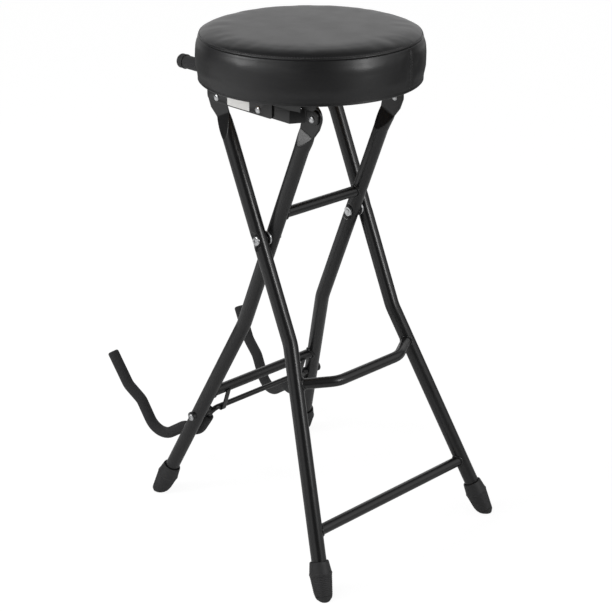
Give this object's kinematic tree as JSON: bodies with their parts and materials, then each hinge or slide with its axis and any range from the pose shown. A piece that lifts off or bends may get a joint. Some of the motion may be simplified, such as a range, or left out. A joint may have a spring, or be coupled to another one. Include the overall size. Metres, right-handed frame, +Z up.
{
  "type": "folding guitar stool",
  "caption": "Folding stool with a round padded seat on crossing tube legs, a bowed footrest, a neck rest that slides from under the seat and a hinged padded cradle for a guitar's body.",
  "frame": {"origin": "centre of the stool's bounding box at floor level, with the stool open on its four feet", "axes": "+Z up from the floor; -Y towards the footrest, the way the sitter faces; +Y towards the cradle and the neck rest; +X across the stool"},
  "size_m": [0.377, 0.5618, 0.765],
  "materials": {
    "powder_black": "semi-gloss black powder coat on steel",
    "zinc_steel": "bright zinc plate",
    "rubber_tip": "matte black moulded rubber",
    "foam_black": "matte closed-cell foam with a skin",
    "vinyl_black": "black upholstery vinyl with a fine grain over foam",
    "plywood": "unfinished plywood",
    "nylon_black": "satin moulded nylon"
  },
  "bodies": {
    "outer_frame": {"outer_leg_right": "powder_black", "outer_leg_left": "powder_black", "footrest_bar": "powder_black", "front_stretcher": "powder_black", "outer_foot_tip_right": "rubber_tip", "outer_foot_tip_left": "rubber_tip", "crossing_bolt_right": "zinc_steel", "crossing_bolt_left": "zinc_steel", "crossing_nut_right": "zinc_steel", "crossing_nut_left": "zinc_steel", "crossing_spacer_right": "zinc_steel", "crossing_spacer_left": "zinc_steel", "crossing_saddle_right": "nylon_black", "crossing_saddle_left": "nylon_black"},
    "inner_frame": {"inner_leg_right": "powder_black", "inner_leg_left": "powder_black", "rear_stretcher": "powder_black", "upper_crossbar": "powder_black", "inner_foot_tip_right": "rubber_tip", "inner_foot_tip_left": "rubber_tip", "front_rivet_inner_right": "zinc_steel", "front_rivet_inner_left": "zinc_steel", "cradle_bolt_right": "zinc_steel", "cradle_bolt_left": "zinc_steel", "cradle_saddle_right": "nylon_black", "cradle_saddle_left": "nylon_black"},
    "seat": {"seat_cushion": "vinyl_black", "seat_board": "plywood", "seat_rail_right": "powder_black", "seat_rail_left": "powder_black", "rail_screw_1": "zinc_steel", "rail_screw_2": "zinc_steel", "rail_screw_3": "zinc_steel", "rail_screw_4": "zinc_steel", "rail_screw_5": "zinc_steel", "rail_screw_6": "zinc_steel", "seat_rivet_right": "zinc_steel", "seat_rivet_left": "zinc_steel", "link_rivet_right": "zinc_steel", "link_rivet_left": "zinc_steel", "neck_guide_front": "nylon_black", "neck_guide_rear": "nylon_black", "guide_screw_1": "zinc_steel", "guide_screw_2": "zinc_steel", "guide_screw_3": "zinc_steel", "guide_screw_4": "zinc_steel"},
    "link_right_body": {"link_right": "powder_black", "front_rivet_outer_right": "zinc_steel"},
    "link_left_body": {"link_left": "powder_black", "front_rivet_outer_left": "zinc_steel"},
    "cradle": {"cradle_rod": "powder_black", "cradle_sleeve_right": "foam_black", "cradle_sleeve_left": "foam_black", "cradle_stop_right": "powder_black", "cradle_stop_left": "powder_black"},
    "neck_rest": {"neck_fork": "powder_black", "neck_sleeve_right": "foam_black", "neck_sleeve_left": "foam_black", "neck_cap_right": "rubber_tip", "neck_cap_left": "rubber_tip"}
  },
  "joints": [
    {"name": "frame_fold", "type": "hinge", "parent": "outer_frame", "child": "inner_frame", "pos_m": [0, -0.05842, 0.471], "axis": [-1, 0, 0], "range_deg": [0, 42.5]},
    {"name": "seat_fold", "type": "hinge", "parent": "outer_frame", "child": "seat", "pos_m": [0, 0.03018, 0.662], "axis": [-1, 0, 0], "range_deg": [0, 88.74]},
    {"name": "link_right_fold", "type": "hinge", "parent": "seat", "child": "link_right_body", "pos_m": [0, -0.05842, 0.662], "axis": [1, 0, 0], "range_deg": [0, 165.22]},
    {"name": "link_left_fold", "type": "hinge", "parent": "seat", "child": "link_left_body", "pos_m": [0, -0.05842, 0.662], "axis": [1, 0, 0], "range_deg": [0, 165.22]},
    {"name": "cradle_fold", "type": "hinge", "parent": "inner_frame", "child": "cradle", "pos_m": [0, 0.07499, 0.1466], "axis": [1, 0, 0], "range_deg": [0, 100]},
    {"name": "neck_slide", "type": "slide", "parent": "seat", "child": "neck_rest", "axis": [0, -1, 0], "range_m": [0, 0.095]}
  ],
  "couplings": [
    {"joint": "seat_fold", "follows": "frame_fold", "ratio": 2.088},
    {"joint": "link_right_fold", "follows": "frame_fold", "ratio": 3.8875},
    {"joint": "link_left_fold", "follows": "frame_fold", "ratio": 3.8875}
  ]
}
